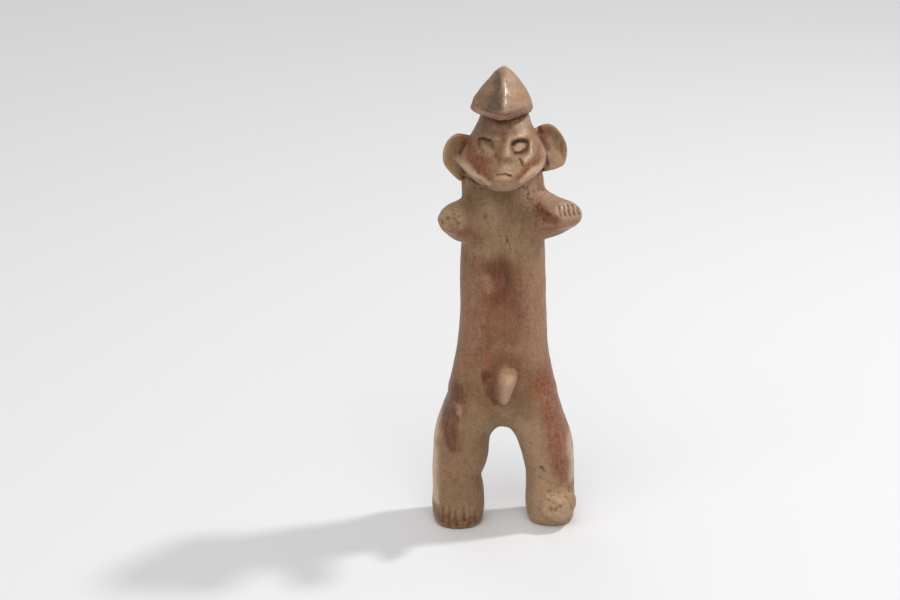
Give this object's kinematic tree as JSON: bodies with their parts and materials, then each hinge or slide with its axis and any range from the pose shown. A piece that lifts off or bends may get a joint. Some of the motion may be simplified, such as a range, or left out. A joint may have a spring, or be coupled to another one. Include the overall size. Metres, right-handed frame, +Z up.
{
  "type": "terracotta figure",
  "caption": "Standing terracotta fetish figure, hand modelled in one piece, with a pointed cap, plate ears, stub arms, a long body and two stump legs.",
  "frame": {"origin": "middle of the bounding box in plan, on the plane of the flat soles", "axes": "+Z up from the soles to the point of the cap, the figure faces -Y, +X is to the right as its front is seen"},
  "size_m": [0.073, 0.0556, 0.24],
  "materials": {
    "terracotta": "low-fired clay, hand rubbed and worn, with a dull burnished slip"
  },
  "bodies": {
    "root": {"fetish_figure": "terracotta"}
  },
  "joints": []
}
